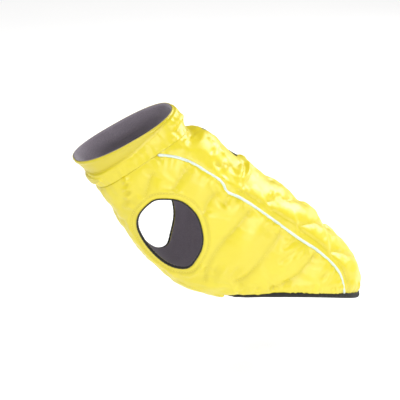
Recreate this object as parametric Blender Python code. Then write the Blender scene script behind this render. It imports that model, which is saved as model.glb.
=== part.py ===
"""Quilted dog coat in its worn form: hollow, with the neck, the armholes and the hem open.

Metres, +Z up. The head end points along -X, the tail end along +X and the wearer's left side is -Y.
The origin is on the inner face of the back panel, on the spine just behind the leash slit, where the
coat rests on its wearer.

The shell is one surface, given by a short table of sections from the collar rim to the hem. A place on
it is a row (0 at the rim, 10 at the hem) and an angle (0 on the spine, 180 on the underside, negative on
the wearer's left). Every piece is a patch of that surface, and its wall runs along the surface normals.
"""

import math
from collections import namedtuple

import bpy
import numpy as np

MM = 0.001

# --- Driving sizes, in millimetres -------------------------------------------------------------------
SHELL_WALL = 3.0
COLLAR_WALL = 2.2
LINING_WALL = 1.2
TAB_WALL = 1.8
SEAM_GAP = 0.4
LAYER_GAP = 0.6                # between faceted layers laid on one another
EDGE_GAP = 0.8                # between a faceted edge and the round binding beside it
CELL = 10.0                   # the cloth's facets
TUBE_STEP = 6.5               # between the points of a cord
PANEL_STEPS = 25
COLLAR_STEPS = 6

PIPING_DIAMETER = 2.4
ARMHOLE_BINDING_DIAMETER = 3.0
SLIT_BINDING_DIAMETER = 1.2
HEM_BAND_HEIGHT = 5.0
HEM_BAND_WALL = 2.2
HEM_BAND_INSET = 0.5
SLIT_HALF_WIDTH = 4.3

# How far the pieces reach round the coat, which sets how many facets they get.
BACK_PANEL_SPAN = 120
SIDE_PANEL_SPAN = 130
COLLAR_ROUND = 260
HEM_ROUND = 370

# --- The sections, in millimetres --------------------------------------------------------------------
# back and front: the section's points on the spine and on the underside. back_share widens the back half
# and narrows the front half. squareness is the exponent of the closed curve: 2 is an ellipse. side_lift
# raises the two sides above the plane through back and front.
Section = namedtuple("Section", "back_x back_z front_x front_z half_width back_share squareness side_lift")
SECTIONS = {
    "rim":      (-87, 76, -186, 27, 38, 0.00, 2.4, -1),
    "crease":   (-80, 64, -173, 14, 37, 0.00, 2.4, 2),
    "base":     (-75, 52, -163, 0, 41, 0.00, 2.3, 8),
    "shoulder": (-54, 47, -148, -21, 48, 0.02, 2.1, 2),
    "withers":  (-29, 24, -135, -45, 53, 0.05, 2.2, 0),
    "chest":    (-4, 9, -118, -71, 54, 0.05, 2.2, 0),
    "ribs":     (25, -16, -97, -93, 54, 0.05, 2.2, 0),
    "waist":    (54, -43, -76, -108, 53, 0.05, 2.2, 1),
    "loin":     (83, -69, -60, -114, 52, 0.03, 2.2, 4),
    "rump":     (107, -101, -48, -119, 51, 0.00, 2.2, 7),
    "hem":      (112, -139, -38, -121, 50, 0.00, 2.3, 10),
}
SECTION_NAMES = tuple(SECTIONS)
SECTION_TABLE = np.array(list(SECTIONS.values()), dtype=float)
RIM_ROW = 0
BASE_ROW = SECTION_NAMES.index("base")
HEM_ROW = SECTION_NAMES.index("hem")
HELD_ROW = 5.3

# --- Seams and openings, as (row, angle) on the left side; the right side mirrors them ---------------
PIPED_SEAM = ((2.0, 85), (2.5, 74), (3.0, 67), (3.55, 62), (3.9, 59), (4.15, 60), (4.45, 64), (4.9, 62),
              (5.45, 60), (6.2, 58), (7.0, 57), (8.3, 57), (10.0, 56))
ARMHOLE_LOOP = ((3.24, 119), (3.36, 107), (3.74, 95), (4.3, 93), (4.88, 98), (5.37, 107), (5.71, 121),
                (5.90, 137), (5.52, 152), (4.7, 156), (3.97, 152), (3.46, 139))
SLIT_ROWS = (2.85, 4.35)
SLIT_STEPS = 12

# --- The largest folds: a trough has a negative height ------------------------------------------------
# Each runs from (row, angle) to (row, angle), with the width and the height in millimetres.
Fold = namedtuple("Fold", "from_row from_angle to_row to_angle width height")
FOLDS = {
    "chin_crease_left":   (0.80, -178, 0.55, -100, 5.0, -2.2),
    "chin_crease_right":  (0.80, 178, 0.60, 112, 5.0, -1.8),
    "nape_fold_left":     (1.45, -6, 1.25, -44, 5.0, -1.8),
    "nape_fold_right":    (1.50, 8, 1.20, 50, 5.0, -1.5),
    "slit_gather_left":   (4.75, -8, 5.05, -44, 7.0, 1.8),
    "slit_gather_right":  (4.70, 10, 5.15, 38, 7.0, 1.5),
}

# --- Laps: the rows and the angles that they cover, on the left of the underside and past it -----------
Lap = namedtuple("Lap", "first_row last_row first_angle last_angle row_steps angle_steps")
THROAT_TAB = Lap(1.12, 1.72, 148, 206, 4, 6)
BELLY_LAP = Lap(6.35, 9.3, 150, 190, 6, 4)
LAP_CORNER = 0.22             # share by which a lap's corners are drawn in

YELLOW = (0.945, 0.855, 0.150)
YELLOW_SHADE = (0.900, 0.800, 0.120)
SLATE = (0.230, 0.205, 0.235)
BLACK = (0.020, 0.019, 0.018)
SILVER = (0.780, 0.800, 0.800)


# --- The surface --------------------------------------------------------------------------------------
def smooth_between(before, start, end, after, t):
    """A smooth curve's value at share t of the way from start to end."""
    return 0.5 * (2 * start + (end - before) * t + (2 * before - 5 * start + 4 * end - after) * t ** 2
                  + (3 * start - before - 3 * end + after) * t ** 3)


def section_at(row):
    """The section at a fractional row, on a smooth curve through the table."""
    last = len(SECTION_TABLE) - 1
    i = min(max(int(math.floor(row)), 0), last - 1)
    t = row - i
    start, end = SECTION_TABLE[i], SECTION_TABLE[i + 1]
    before = SECTION_TABLE[i - 1] if i > 0 else 2 * start - end
    after = SECTION_TABLE[i + 2] if i + 2 <= last else 2 * end - start
    return Section(*smooth_between(before, start, end, after, t))


def smooth_form(row, angle):
    """The coat's outer face without folds, in millimetres, before the origin is set."""
    cut = section_at(row)
    cosine, sine = math.cos(math.radians(angle)), math.sin(math.radians(angle))
    along = math.copysign(abs(cosine) ** (2 / cut.squareness), cosine)
    across = math.copysign(abs(sine) ** (2 / cut.squareness), sine)
    x = (cut.back_x + cut.front_x) / 2 + (cut.back_x - cut.front_x) / 2 * along
    y = cut.half_width * across * (1 + cut.back_share * cosine)
    z = (cut.back_z + cut.front_z) / 2 + (cut.back_z - cut.front_z) / 2 * along + cut.side_lift * sine ** 2
    return np.array((x, y, z))


def form_normal(row, angle):
    """The outward unit normal of the smooth form."""
    row_step, angle_step = 0.02, 1.0
    along = smooth_form(row + row_step, angle) - smooth_form(row - row_step, angle)
    around = smooth_form(row, angle + angle_step) - smooth_form(row, angle - angle_step)
    normal = np.cross(along, around)
    return normal / np.linalg.norm(normal)


def held_point():
    """The inner face of the back panel, where the coat rests on its wearer."""
    return smooth_form(HELD_ROW, 0) - form_normal(HELD_ROW, 0) * SHELL_WALL


def fold_height(point):
    """How far the largest folds move the cloth out at a point of the smooth form."""
    height = 0.0
    for fold in (Fold(*values) for values in FOLDS.values()):
        start, end = smooth_form(fold.from_row, fold.from_angle), smooth_form(fold.to_row, fold.to_angle)
        middle = smooth_form((fold.from_row + fold.to_row) / 2, (fold.from_angle + fold.to_angle) / 2)
        for first, second in ((start, middle), (middle, end)):
            run = second - first
            share = min(max(np.dot(point - first, run) / np.dot(run, run), 0), 1)
            distance = np.linalg.norm(point - first - run * share)
            bump = fold.height * math.exp(-(distance / fold.width) ** 2)
            if abs(bump) > abs(height):
                height = bump
    return height


def cloth_point(row, angle, offset):
    """A point of the cloth, offset millimetres outside the coat's outer face, from the part's origin."""
    point = smooth_form(row, angle)
    return point + form_normal(row, angle) * (offset + fold_height(point)) - ORIGIN


ORIGIN = held_point()


# --- Places along seams and edges ----------------------------------------------------------------------
def curve_through(knots, closed=False, steps=8):
    """Points of a smooth curve through the knots, as (row, angle)."""
    knots = [np.array(knot, dtype=float) for knot in knots]
    count = len(knots)
    points = []
    for i in range(count if closed else count - 1):
        if closed:
            before, start, end, after = (knots[(i + k) % count] for k in (-1, 0, 1, 2))
        else:
            start, end = knots[i], knots[i + 1]
            before, after = knots[max(i - 1, 0)], knots[min(i + 2, count - 1)]
        for step in range(steps):
            points.append(smooth_between(before, start, end, after, step / steps))
    if not closed:
        points.append(knots[-1])
    return points


SEAM_CURVE = curve_through(PIPED_SEAM)


def seam_angle(row):
    """The angle of the reflective seam at a row."""
    rows, angles = zip(*SEAM_CURVE)
    return float(np.interp(row, rows, angles))


def millimetres_per_row(row, angle):
    return np.linalg.norm(smooth_form(row + 0.1, angle) - smooth_form(row - 0.1, angle)) / 0.2


def millimetres_per_degree(row, angle):
    return np.linalg.norm(smooth_form(row, angle + 2) - smooth_form(row, angle - 2)) / 4


def hem_edge(angle):
    """The row where the panels end and the hem band begins."""
    return HEM_ROW - (HEM_BAND_HEIGHT + SEAM_GAP) / millimetres_per_row(HEM_ROW - 0.1, angle)


def slit_angle(row, half_width):
    """The angle at which the leash slit's edge stands, half_width millimetres from the spine."""
    cut = section_at(row)
    share = half_width / (cut.half_width * (1 + cut.back_share))
    return math.degrees(math.asin(share ** (cut.squareness / 2)))


def slit_loop():
    """The leash slit: a lens along the spine."""
    sides = []
    for side in (-1, 1):
        for step in range(SLIT_STEPS):
            share = step / SLIT_STEPS if side < 0 else 1 - step / SLIT_STEPS
            row = SLIT_ROWS[0] + (SLIT_ROWS[1] - SLIT_ROWS[0]) * share
            width = SLIT_HALF_WIDTH * math.sin(math.pi * share) ** 0.75
            sides.append(np.array((row, side * slit_angle(row, width))))
    return sides


def armhole_loop(side):
    """The armhole's edge on one side: side is -1 for the left and 1 for the right."""
    return [np.array((row, side * angle)) for row, angle in curve_through(ARMHOLE_LOOP, closed=True, steps=4)]


def inside_loop(loop):
    """A test that tells whether a place lies inside a closed loop of places."""
    rows = np.array([place[0] for place in loop])
    angles = np.array([place[1] for place in loop])
    next_rows, next_angles = np.roll(rows, -1), np.roll(angles, -1)

    def is_inside(row, angle):
        spans = (angles > angle) != (next_angles > angle)
        with np.errstate(divide="ignore", invalid="ignore"):
            crossing = rows + (angle - angles) / (next_angles - angles) * (next_rows - rows)
        return bool(np.count_nonzero(spans & (crossing > row)) % 2)

    return is_inside


# --- Patches of the surface ------------------------------------------------------------------------------
def grid(place, row_steps, angle_steps, closed=False):
    """A grid of places and its faces. place turns two shares, along and around, into (row, angle)."""
    columns = angle_steps if closed else angle_steps + 1
    places = [np.array(place(i / row_steps, j / angle_steps)) for i in range(row_steps + 1)
              for j in range(columns)]
    faces = []
    for i in range(row_steps):
        for j in range(angle_steps):
            near, far = j, (j + 1) % columns
            faces.append((i * columns + near, (i + 1) * columns + near,
                          (i + 1) * columns + far, i * columns + far))
    return places, faces


def trim(places, faces, is_open):
    """Cuts the opening out of a patch and ends the remaining faces on the opening's edge."""
    snap = 0.3
    places = list(places)
    opened = [is_open(*place) for place in places]

    def crossing(kept, removed):
        low, high = 0.0, 1.0
        for _ in range(24):
            middle = (low + high) / 2
            if is_open(*(places[kept] + (places[removed] - places[kept]) * middle)):
                high = middle
            else:
                low = middle
        return high

    edges = {tuple(sorted((face[k], face[k - 1]))) for face in faces for k in range(len(face))}
    moved = {}
    for first, second in edges:
        if opened[first] == opened[second]:
            continue
        kept, removed = (second, first) if opened[first] else (first, second)
        share = crossing(kept, removed)
        if share < moved.get(kept, (snap, None))[0]:
            moved[kept] = (share, places[kept] + (places[removed] - places[kept]) * share)
    for corner, (_, place) in moved.items():
        places[corner] = place

    new_places = {}

    def cut(kept, removed):
        if (kept, removed) not in new_places:
            share = crossing(kept, removed)
            places.append(places[kept] + (places[removed] - places[kept]) * share)
            new_places[kept, removed] = len(places) - 1
        return new_places[kept, removed]

    trimmed = []
    for face in faces:
        ring = []
        for k, corner in enumerate(face):
            follower = face[(k + 1) % len(face)]
            if not opened[corner]:
                ring.append(corner)
            if opened[corner] != opened[follower] and corner not in moved and follower not in moved:
                ring.append(cut(follower, corner) if opened[corner] else cut(corner, follower))
        all_on_edge = all(corner in moved for corner in ring)
        middle = sum(places[corner] for corner in face) / len(face)
        if len(ring) >= 3 and not (all_on_edge and is_open(*middle)):
            trimmed.append(tuple(ring))
    return places, trimmed


def steps_for(length):
    return max(2, round(length / CELL))


# --- Objects ---------------------------------------------------------------------------------------------
def material(name, color, roughness, metallic=0.0):
    finish = bpy.data.materials.new(name)
    finish.use_nodes = True
    shader = finish.node_tree.nodes["Principled BSDF"]
    shader.inputs["Base Color"].default_value = (*color, 1)
    shader.inputs["Roughness"].default_value = roughness
    shader.inputs["Metallic"].default_value = metallic
    finish.diffuse_color = (*color, 1)
    return finish


def add_object(name, data, finish, collection):
    data.materials.append(finish)
    thing = bpy.data.objects.new(name, data)
    collection.objects.link(thing)
    return thing


def add_wall(name, patch, outer, inner, finish, collection):
    """A closed wall of cloth over a patch, between two offsets from the coat's outer face."""
    places, faces = patch
    used = sorted({corner for face in faces for corner in face})
    number = {corner: k for k, corner in enumerate(used)}
    faces = [tuple(number[corner] for corner in face) for face in faces]
    outer_points = [cloth_point(*places[corner], outer) * MM for corner in used]
    inner_points = [cloth_point(*places[corner], inner) * MM for corner in used]
    shift = len(used)
    sides = {}
    for face in faces:
        for k, corner in enumerate(face):
            follower = face[(k + 1) % len(face)]
            if (follower, corner) in sides:
                del sides[follower, corner]
            else:
                sides[corner, follower] = True
    walls = [(follower, corner, corner + shift, follower + shift) for corner, follower in sides]
    inner_faces = [tuple(corner + shift for corner in reversed(face)) for face in faces]
    mesh = bpy.data.meshes.new(name)
    mesh.from_pydata(outer_points + inner_points, [], faces + inner_faces + walls)
    mesh.validate()
    mesh.shade_smooth()
    mesh.set_sharp_from_angle(angle=math.radians(50))
    return add_object(name, mesh, finish, collection)


def add_tube(name, points, diameter, finish, collection, closed=False):
    """A round cord through the points, which are in millimetres."""
    curve = bpy.data.curves.new(name, "CURVE")
    curve.dimensions = "3D"
    curve.bevel_depth = diameter / 2 * MM
    curve.bevel_resolution = 1
    curve.use_fill_caps = True
    spline = curve.splines.new("POLY")
    spline.points.add(len(points) - 1)
    for knot, point in zip(spline.points, points):
        knot.co = (*(point * MM), 1)
    spline.use_cyclic_u = closed
    return add_object(name, curve, finish, collection)


def evenly_spaced(points, spacing, closed=False):
    """The same path with its points at even distances."""
    points = np.array(points + points[:1] if closed else points)
    reach = np.concatenate(([0], np.cumsum(np.linalg.norm(np.diff(points, axis=0), axis=1))))
    count = max(4, round(reach[-1] / spacing))
    stations = np.linspace(0, reach[-1], count + 1)
    if closed:
        stations = stations[:-1]
    return [np.array([np.interp(s, reach, points[:, axis]) for axis in range(3)]) for s in stations]


def edge_path(loop, offset, inward):
    """A closed path beside an opening's edge, inward millimetres into the opening."""
    edge = [cloth_point(*place, offset) for place in loop]
    centre = sum(edge) / len(edge)
    path = []
    for k, place in enumerate(loop):
        run = edge[(k + 1) % len(edge)] - edge[k - 1]
        side = np.cross(form_normal(*place), run)
        side /= np.linalg.norm(side)
        if np.dot(side, centre - edge[k]) < 0:
            side = -side
        path.append(edge[k] + side * inward)
    return path


# --- The pieces --------------------------------------------------------------------------------------------
def panel_row(along, angle):
    """The row a share of the way down a panel, from the collar seam to the hem band."""
    first_row = BASE_ROW + SEAM_GAP / millimetres_per_row(BASE_ROW, 0)
    return first_row + (hem_edge(angle) - first_row) * along


def seam_gap_angle(row, angle):
    """Half a seam's gap, in degrees."""
    return SEAM_GAP / 2 / millimetres_per_degree(row, angle)


def back_panel(finish, collection):
    def place(along, around):
        side = 2 * around - 1
        row = panel_row(along, side * seam_angle(HEM_ROW))
        return row, side * (seam_angle(row) - seam_gap_angle(row, seam_angle(row)))

    patch = grid(place, PANEL_STEPS, steps_for(BACK_PANEL_SPAN))
    patch = trim(*patch, inside_loop(slit_loop()))
    add_wall("back_panel", patch, 0, -SHELL_WALL, finish, collection)


def side_panel(name, side, finish, collection):
    def place(along, around):
        share = around if side > 0 else 1 - around
        row = panel_row(along, seam_angle(HEM_ROW) + (180 - seam_angle(HEM_ROW)) * share)
        top = seam_angle(row) + seam_gap_angle(row, seam_angle(row))
        bottom = 180 - seam_gap_angle(row, 178)
        return row, side * (top + (bottom - top) * share)

    patch = grid(place, PANEL_STEPS, steps_for(SIDE_PANEL_SPAN))
    patch = trim(*patch, inside_loop(armhole_loop(side)))
    add_wall(name, patch, 0, -SHELL_WALL, finish, collection)


def collar_patch():
    """A ring from the rim to the collar seam, open by a seam's gap at the throat."""
    def place(along, around):
        row = (BASE_ROW - SEAM_GAP / millimetres_per_row(BASE_ROW, 90)) * along
        half = 180 - seam_gap_angle(row, 178)
        return row, half * (2 * around - 1)

    return grid(place, COLLAR_STEPS, steps_for(COLLAR_ROUND))


def collar(finish, collection):
    add_wall("collar", collar_patch(), 0, -COLLAR_WALL, finish, collection)


def collar_lining(finish, collection):
    outer = -COLLAR_WALL - LAYER_GAP
    add_wall("collar_lining", collar_patch(), outer, outer - LINING_WALL, finish, collection)


def lap(name, reach, finish, collection):
    """A flat lap with its corners drawn in, laid on the cloth below it."""
    middle_row, half_rows = (reach.first_row + reach.last_row) / 2, (reach.last_row - reach.first_row) / 2
    middle_angle = (reach.first_angle + reach.last_angle) / 2
    half_angles = (reach.last_angle - reach.first_angle) / 2

    def place(along, around):
        down, across = 2 * along - 1, 1 - 2 * around
        drawn_in = 1 - LAP_CORNER * (down * across) ** 4
        return middle_row + half_rows * down * drawn_in, -(middle_angle + half_angles * across * drawn_in)

    patch = grid(place, reach.row_steps, reach.angle_steps)
    add_wall(name, patch, LAYER_GAP + TAB_WALL, LAYER_GAP, finish, collection)


def piping(name, side, finish, collection):
    last_row = hem_edge(seam_angle(HEM_ROW)) - 0.02
    height = LAYER_GAP + PIPING_DIAMETER / 2
    points = [cloth_point(row, side * angle, height) for row, angle in SEAM_CURVE if row < last_row]
    points.append(cloth_point(last_row, side * seam_angle(last_row), height))
    add_tube(name, evenly_spaced(points[1:], TUBE_STEP), PIPING_DIAMETER, finish, collection)


def armhole_binding(name, side, finish, collection):
    inward = ARMHOLE_BINDING_DIAMETER / 2 + EDGE_GAP
    path = edge_path(armhole_loop(side), -SHELL_WALL / 2, inward)
    path = evenly_spaced(path, TUBE_STEP, closed=True)
    add_tube(name, path, ARMHOLE_BINDING_DIAMETER, finish, collection, closed=True)


def leash_slit_binding(finish, collection):
    inward = SLIT_BINDING_DIAMETER / 2 + LAYER_GAP
    loop = slit_loop()
    path = edge_path(loop[1:SLIT_STEPS] + loop[SLIT_STEPS + 1:], -SHELL_WALL / 2, inward)
    add_tube("leash_slit_binding", path, SLIT_BINDING_DIAMETER, finish, collection, closed=True)


def hem_binding(finish, collection):
    def place(along, around):
        angle = 360 * around - 180
        first_row = hem_edge(angle) + SEAM_GAP / millimetres_per_row(HEM_ROW - 0.1, angle)
        return first_row + (HEM_ROW - first_row) * along, angle

    patch = grid(place, 1, steps_for(HEM_ROUND), closed=True)
    add_wall("hem_binding", patch, -HEM_BAND_INSET, -HEM_BAND_INSET - HEM_BAND_WALL, finish, collection)


def main():
    for thing in list(bpy.data.objects):
        bpy.data.objects.remove(thing, do_unlink=True)
    coat = bpy.data.collections.new("dog_coat")
    bpy.context.scene.collection.children.link(coat)

    shell = material("shell_nylon", YELLOW, 0.42)
    back_shell = material("back_nylon", YELLOW_SHADE, 0.42)
    slate = material("lining", SLATE, 0.75)
    elastic = material("elastic", BLACK, 0.8)
    silver = material("reflective_piping", SILVER, 0.3, 0.2)

    back_panel(back_shell, coat)
    side_panel("side_panel_left", -1, shell, coat)
    side_panel("side_panel_right", 1, shell, coat)
    collar(shell, coat)
    collar_lining(slate, coat)
    lap("throat_tab", THROAT_TAB, shell, coat)
    lap("belly_lap", BELLY_LAP, shell, coat)
    piping("piping_left", -1, silver, coat)
    piping("piping_right", 1, silver, coat)
    armhole_binding("armhole_binding_left", -1, elastic, coat)
    armhole_binding("armhole_binding_right", 1, elastic, coat)
    leash_slit_binding(elastic, coat)
    hem_binding(elastic, coat)


main()
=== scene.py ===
"""Looks of a quilted dog coat in its worn form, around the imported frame.

Lengths are in millimetres until a mesh is made. A place on the cloth is a row (0 at the collar rim, 10 at
the hem) and an angle (0 on the spine, 180 on the underside, negative on the coat's left). Every piece
is a fine patch of one smooth form. Its height over the form comes from its stitched lines, a cloth
simulation of the padding between them, and the creases listed here.
"""
import math
from collections import namedtuple

import bpy
import numpy as np
from mathutils import Matrix, Vector
from mathutils.bvhtree import BVHTree


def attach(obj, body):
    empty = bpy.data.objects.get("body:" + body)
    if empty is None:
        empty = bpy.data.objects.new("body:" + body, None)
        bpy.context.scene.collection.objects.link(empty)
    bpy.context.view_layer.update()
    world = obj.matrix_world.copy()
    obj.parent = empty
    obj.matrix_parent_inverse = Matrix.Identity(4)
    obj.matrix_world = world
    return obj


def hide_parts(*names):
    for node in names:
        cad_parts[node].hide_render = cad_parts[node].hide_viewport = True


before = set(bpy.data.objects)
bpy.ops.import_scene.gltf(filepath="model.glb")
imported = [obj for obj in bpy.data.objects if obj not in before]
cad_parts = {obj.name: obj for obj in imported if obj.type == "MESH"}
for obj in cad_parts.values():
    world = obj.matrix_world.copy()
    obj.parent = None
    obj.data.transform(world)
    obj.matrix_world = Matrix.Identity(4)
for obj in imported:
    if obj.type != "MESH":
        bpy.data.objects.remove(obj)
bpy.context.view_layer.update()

MM = 0.001
SIDES = ((-1, "left"), (1, "right"))

# --- Sizes, in millimetres ---
SHELL_WALL = 3.0
COLLAR_WALL = 2.2
LINING_WALL = 1.2
TAB_WALL = 1.8
SEAM_GAP = 0.06
HEM_BAND_HEIGHT = 5.0
HEM_BAND_WALL = 2.2
HEM_BAND_INSET = 0.5
PIPING_RADIUS = 1.45
PIPING_HEIGHT = 0.55
PIPING_STEP = 1.4
SLIT_HALF_WIDTH = 4.3
ARMHOLE_FACING = 5.5
FLANGE_WIDTH = 7.5
THINNEST_WALL = 0.7
PADDING_CROWN = 2.2
SEAM_LEVEL = 1.6
CELL = 1.15
STITCH_PITCH, STITCH_LENGTH, STITCH_RADIUS, STITCH_MARGIN = 2.9, 2.0, 0.17, 0.6
CLOTH_FRAMES = 20

# --- The form, as in the frame ---
# back x, back z, front x, front z, half width, back share, squareness, side lift
SECTIONS = np.array((
    (-87, 76, -186, 27, 38, 0.00, 2.4, -1),
    (-80, 64, -173, 14, 37, 0.00, 2.4, 2),
    (-75, 52, -163, 0, 41, 0.00, 2.3, 8),
    (-54, 47, -148, -21, 48, 0.02, 2.1, 2),
    (-29, 24, -135, -45, 53, 0.05, 2.2, 0),
    (-4, 9, -118, -71, 54, 0.05, 2.2, 0),
    (25, -16, -97, -93, 54, 0.05, 2.2, 0),
    (54, -43, -76, -108, 53, 0.05, 2.2, 1),
    (83, -69, -60, -114, 52, 0.03, 2.2, 4),
    (107, -101, -48, -119, 51, 0.00, 2.2, 7),
    (112, -139, -38, -121, 50, 0.00, 2.3, 10),
), dtype=float)
BASE_ROW = 2.0
HEM_ROW = 10.0
HELD_ROW = 5.3
PIPED_SEAM = ((2.0, 85), (2.5, 74), (3.0, 67), (3.55, 62), (3.9, 59), (4.15, 60), (4.45, 64), (4.9, 62),
              (5.45, 60), (6.2, 58), (7.0, 57), (8.3, 57), (10.0, 56))
ARMHOLE_LOOP = ((3.24, 119), (3.36, 107), (3.74, 95), (4.3, 93), (4.88, 98), (5.37, 107), (5.71, 121),
                (5.90, 137), (5.52, 152), (4.7, 156), (3.97, 152), (3.46, 139))
SLIT_ROWS = (2.85, 4.35)
THROAT_TAB = ((1.12, 1.72), (148, 206))
BELLY_LAP = ((6.35, 9.3), (150, 190))
LAP_CORNER = 0.22
LAP_STITCH_INSET = 3.2
TAB_LIFT, BELLY_LIFT = 1.2, 2.2

# --- Stitched lines, as places on the left; the right side has its own small differences ---
# Depth is how far the cloth is drawn in, and width how fast the puffs beside the line rise again.
Stitched = namedtuple("Stitched", "places depth width")
Groove = namedtuple("Groove", "share width")
QUILT_GROOVE = Groove(0.15, 1.4)
FLANGE_GROOVE = Groove(0.7, 1.5)
SIDE_QUILTS = (
    Stitched(((2.44, 94), (2.58, 103), (2.83, 114), (3.06, 125)), 3.52, 9.36),
    Stitched(((3.02, 69), (3.15, 82), (3.29, 92), (3.42, 98)), 3.52, 9.36),
    Stitched(((4.24, 66), (4.23, 76), (4.35, 84), (4.65, 91)), 3.68, 10.4),
    Stitched(((4.70, 66), (4.79, 79)), 2.72, 6.63),
    Stitched(((5.46, 61), (5.54, 79), (5.67, 93), (5.9, 108), (6.27, 123), (6.9, 141)), 4.48, 11.31),
    Stitched(((6.5, 59), (6.67, 69), (6.88, 84), (7.1, 94), (7.52, 113), (7.7, 127)), 4.8, 11.31),
    Stitched(((7.92, 58), (8.31, 78), (8.6, 88), (8.81, 98), (9.02, 113)), 4.48, 10.4),
)
BACK_QUILTS = (
    Stitched(((3.55, 52), (4.0, 34), (4.62, 9)), 2.08, 8.19),
    Stitched(((4.72, 54), (5.1, 36), (5.75, 0)), 2.4, 9.1),
    Stitched(((5.6, 50), (5.9, 36), (6.35, 18), (6.82, 0)), 3.84, 10.01),
    Stitched(((6.71, 49), (7.08, 34), (7.45, 18), (7.9, 0)), 4.0, 10.01),
    Stitched(((8.12, 49), (8.35, 38), (8.72, 20), (9.0, 0)), 4.0, 10.01),
)
FLANGE_EDGE = ((4.6, 57.5), (5.21, 54), (5.56, 52), (6.15, 50), (6.67, 48), (7.35, 48), (8.04, 49),
               (8.5, 50), (9.2, 50), (9.9, 50))
# The collar's fold, as (angle, row).
COLLAR_FOLD = ((0, 0.12), (25, 0.13), (53, 0.2), (75, 0.38), (85, 0.48), (96, 0.69), (116, 0.85),
               (146, 1.0), (160, 0.94), (179, 0.80))
# --- Creases: places, width and height, in millimetres, negative for a trough ---
Crease = namedtuple("Crease", "places width height")
SIDE_CREASES = (
    Crease(((2.16, 131), (2.2, 117)), 2.6, 1.76),
    Crease(((2.42, 136), (2.44, 121)), 2.6, 1.92),
    Crease(((2.68, 142), (2.69, 127)), 2.6, 1.76),
    Crease(((3.02, 152), (2.97, 134)), 2.8, 1.6),
    Crease(((2.29, 134), (2.32, 118)), 2.0, -1.28),
    Crease(((2.56, 139), (2.57, 124)), 2.0, -1.28),
    Crease(((7.12, 58), (7.1, 66), (7.02, 76)), 2.6, -1.6),
    Crease(((7.33, 60), (7.42, 73), (7.54, 88)), 3.0, -1.76),
    Crease(((6.27, 111), (6.62, 126)), 3.0, -1.6),
    Crease(((6.35, 106), (6.7, 119)), 2.6, 1.28),
    Crease(((6.69, 100), (7.19, 120)), 3.2, -1.6),
    Crease(((9.23, 79), (9.62, 88)), 3.4, -1.76),
    Crease(((8.88, 104), (9.17, 113)), 3.0, -1.6),
    Crease(((9.1, 96), (9.5, 103)), 3.0, -1.6),
    Crease(((8.1, 118), (8.5, 128), (8.8, 140)), 3.4, -1.76),
    Crease(((9.35, 120), (9.75, 128)), 3.0, 1.6),
    Crease(((5.98, 118), (6.15, 132), (6.2, 146)), 3.2, 1.44),
    Crease(((7.56, 63), (7.66, 79)), 2.2, -1.44),
    Crease(((8.76, 64), (9.12, 78)), 2.4, -1.6),
    Crease(((9.42, 61), (9.64, 74)), 2.4, -1.44),
    Crease(((8.5, 112), (8.96, 125)), 2.4, -1.44),
    Crease(((7.76, 117), (8.34, 134)), 3.0, -1.76),
    Crease(((6.42, 117), (6.9, 134)), 3.0, -1.6),
    Crease(((8.66, 93), (9.38, 106)), 3.0, -1.76),
    Crease(((3.3, 160), (4.1, 168)), 4.0, -1.6),
    Crease(((5.6, 160), (6.2, 168)), 3.6, -1.6),
)
BACK_CREASES = (
    Crease(((2.08, 58), (1.98, 51), (1.86, 44)), 2.4, 1.6),
    Crease(((2.30, 57), (2.28, 47), (2.2, 37)), 2.4, 1.76),
    Crease(((2.48, 39), (2.44, 20)), 2.8, 1.44),
    Crease(((2.2, 52), (2.12, 40)), 2.0, -1.28),
    Crease(((2.92, 26), (3.25, 31)), 2.6, 1.76),
    Crease(((3.33, 32), (3.29, 48)), 2.6, -1.6),
    Crease(((3.46, 29), (3.77, 29)), 2.6, 1.76),
    Crease(((3.44, 48), (3.83, 48)), 2.8, -1.44),
    Crease(((3.85, 30), (3.88, 50)), 2.8, 1.76),
    Crease(((4.04, 30), (4.33, 44)), 2.8, -1.76),
    Crease(((3.9, 55), (4.25, 56)), 2.6, 1.44),
    Crease(((4.38, 10), (4.4, 22), (4.47, 34), (4.45, 50)), 3.2, 1.76),
    Crease(((4.55, 9), (4.56, 22), (4.56, 44)), 2.4, -1.92),
    Crease(((4.75, 5), (4.71, 20), (4.68, 32), (4.62, 46)), 3.2, 1.76),
    Crease(((4.93, 8), (4.9, 30), (4.86, 48)), 3.4, -1.92),
    Crease(((5.62, 27), (5.68, 43)), 2.0, -1.76),
    Crease(((5.68, 43), (5.92, 26)), 2.2, -1.44),
    Crease(((5.72, 31), (5.74, 38)), 2.2, 1.28),
    Crease(((9.3, 8), (9.75, 6)), 3.4, 1.44),
    Crease(((9.4, 28), (9.8, 30)), 3.2, 1.44),
)
COLLAR_CREASES = (
    Crease(((1.31, 56), (1.19, 36), (1.21, 12)), 3.6, -2.88),
    Crease(((1.02, 54), (0.8, 35), (0.95, 8)), 3.4, 2.4),
    Crease(((1.75, 62), (1.6, 46)), 2.6, 1.28),
    Crease(((1.9, 84), (1.7, 78)), 2.6, -1.44),
    Crease(((1.84, 112), (1.62, 104)), 2.8, 1.28),
    Crease(((1.78, 128), (1.55, 118)), 2.8, -1.28),
    Crease(((1.3, 110), (1.15, 84)), 4.0, 0.96),
)

# How far the back stands over or under the form along the spine, as (row, millimetres).
SPINE_RISE = ((2.0, -3.6), (2.35, -5.0), (2.8, -1.4), (3.4, 0.0), (4.2, -1.8), (4.7, -1.6), (5.1, -3.8),
              (5.5, -2.6), (6.0, 1.4), (6.6, 2.8), (7.2, 4.0), (7.7, -0.8), (8.2, -0.8), (8.8, 0.8),
              (9.3, 0.0), (10.0, -3.4))

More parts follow.
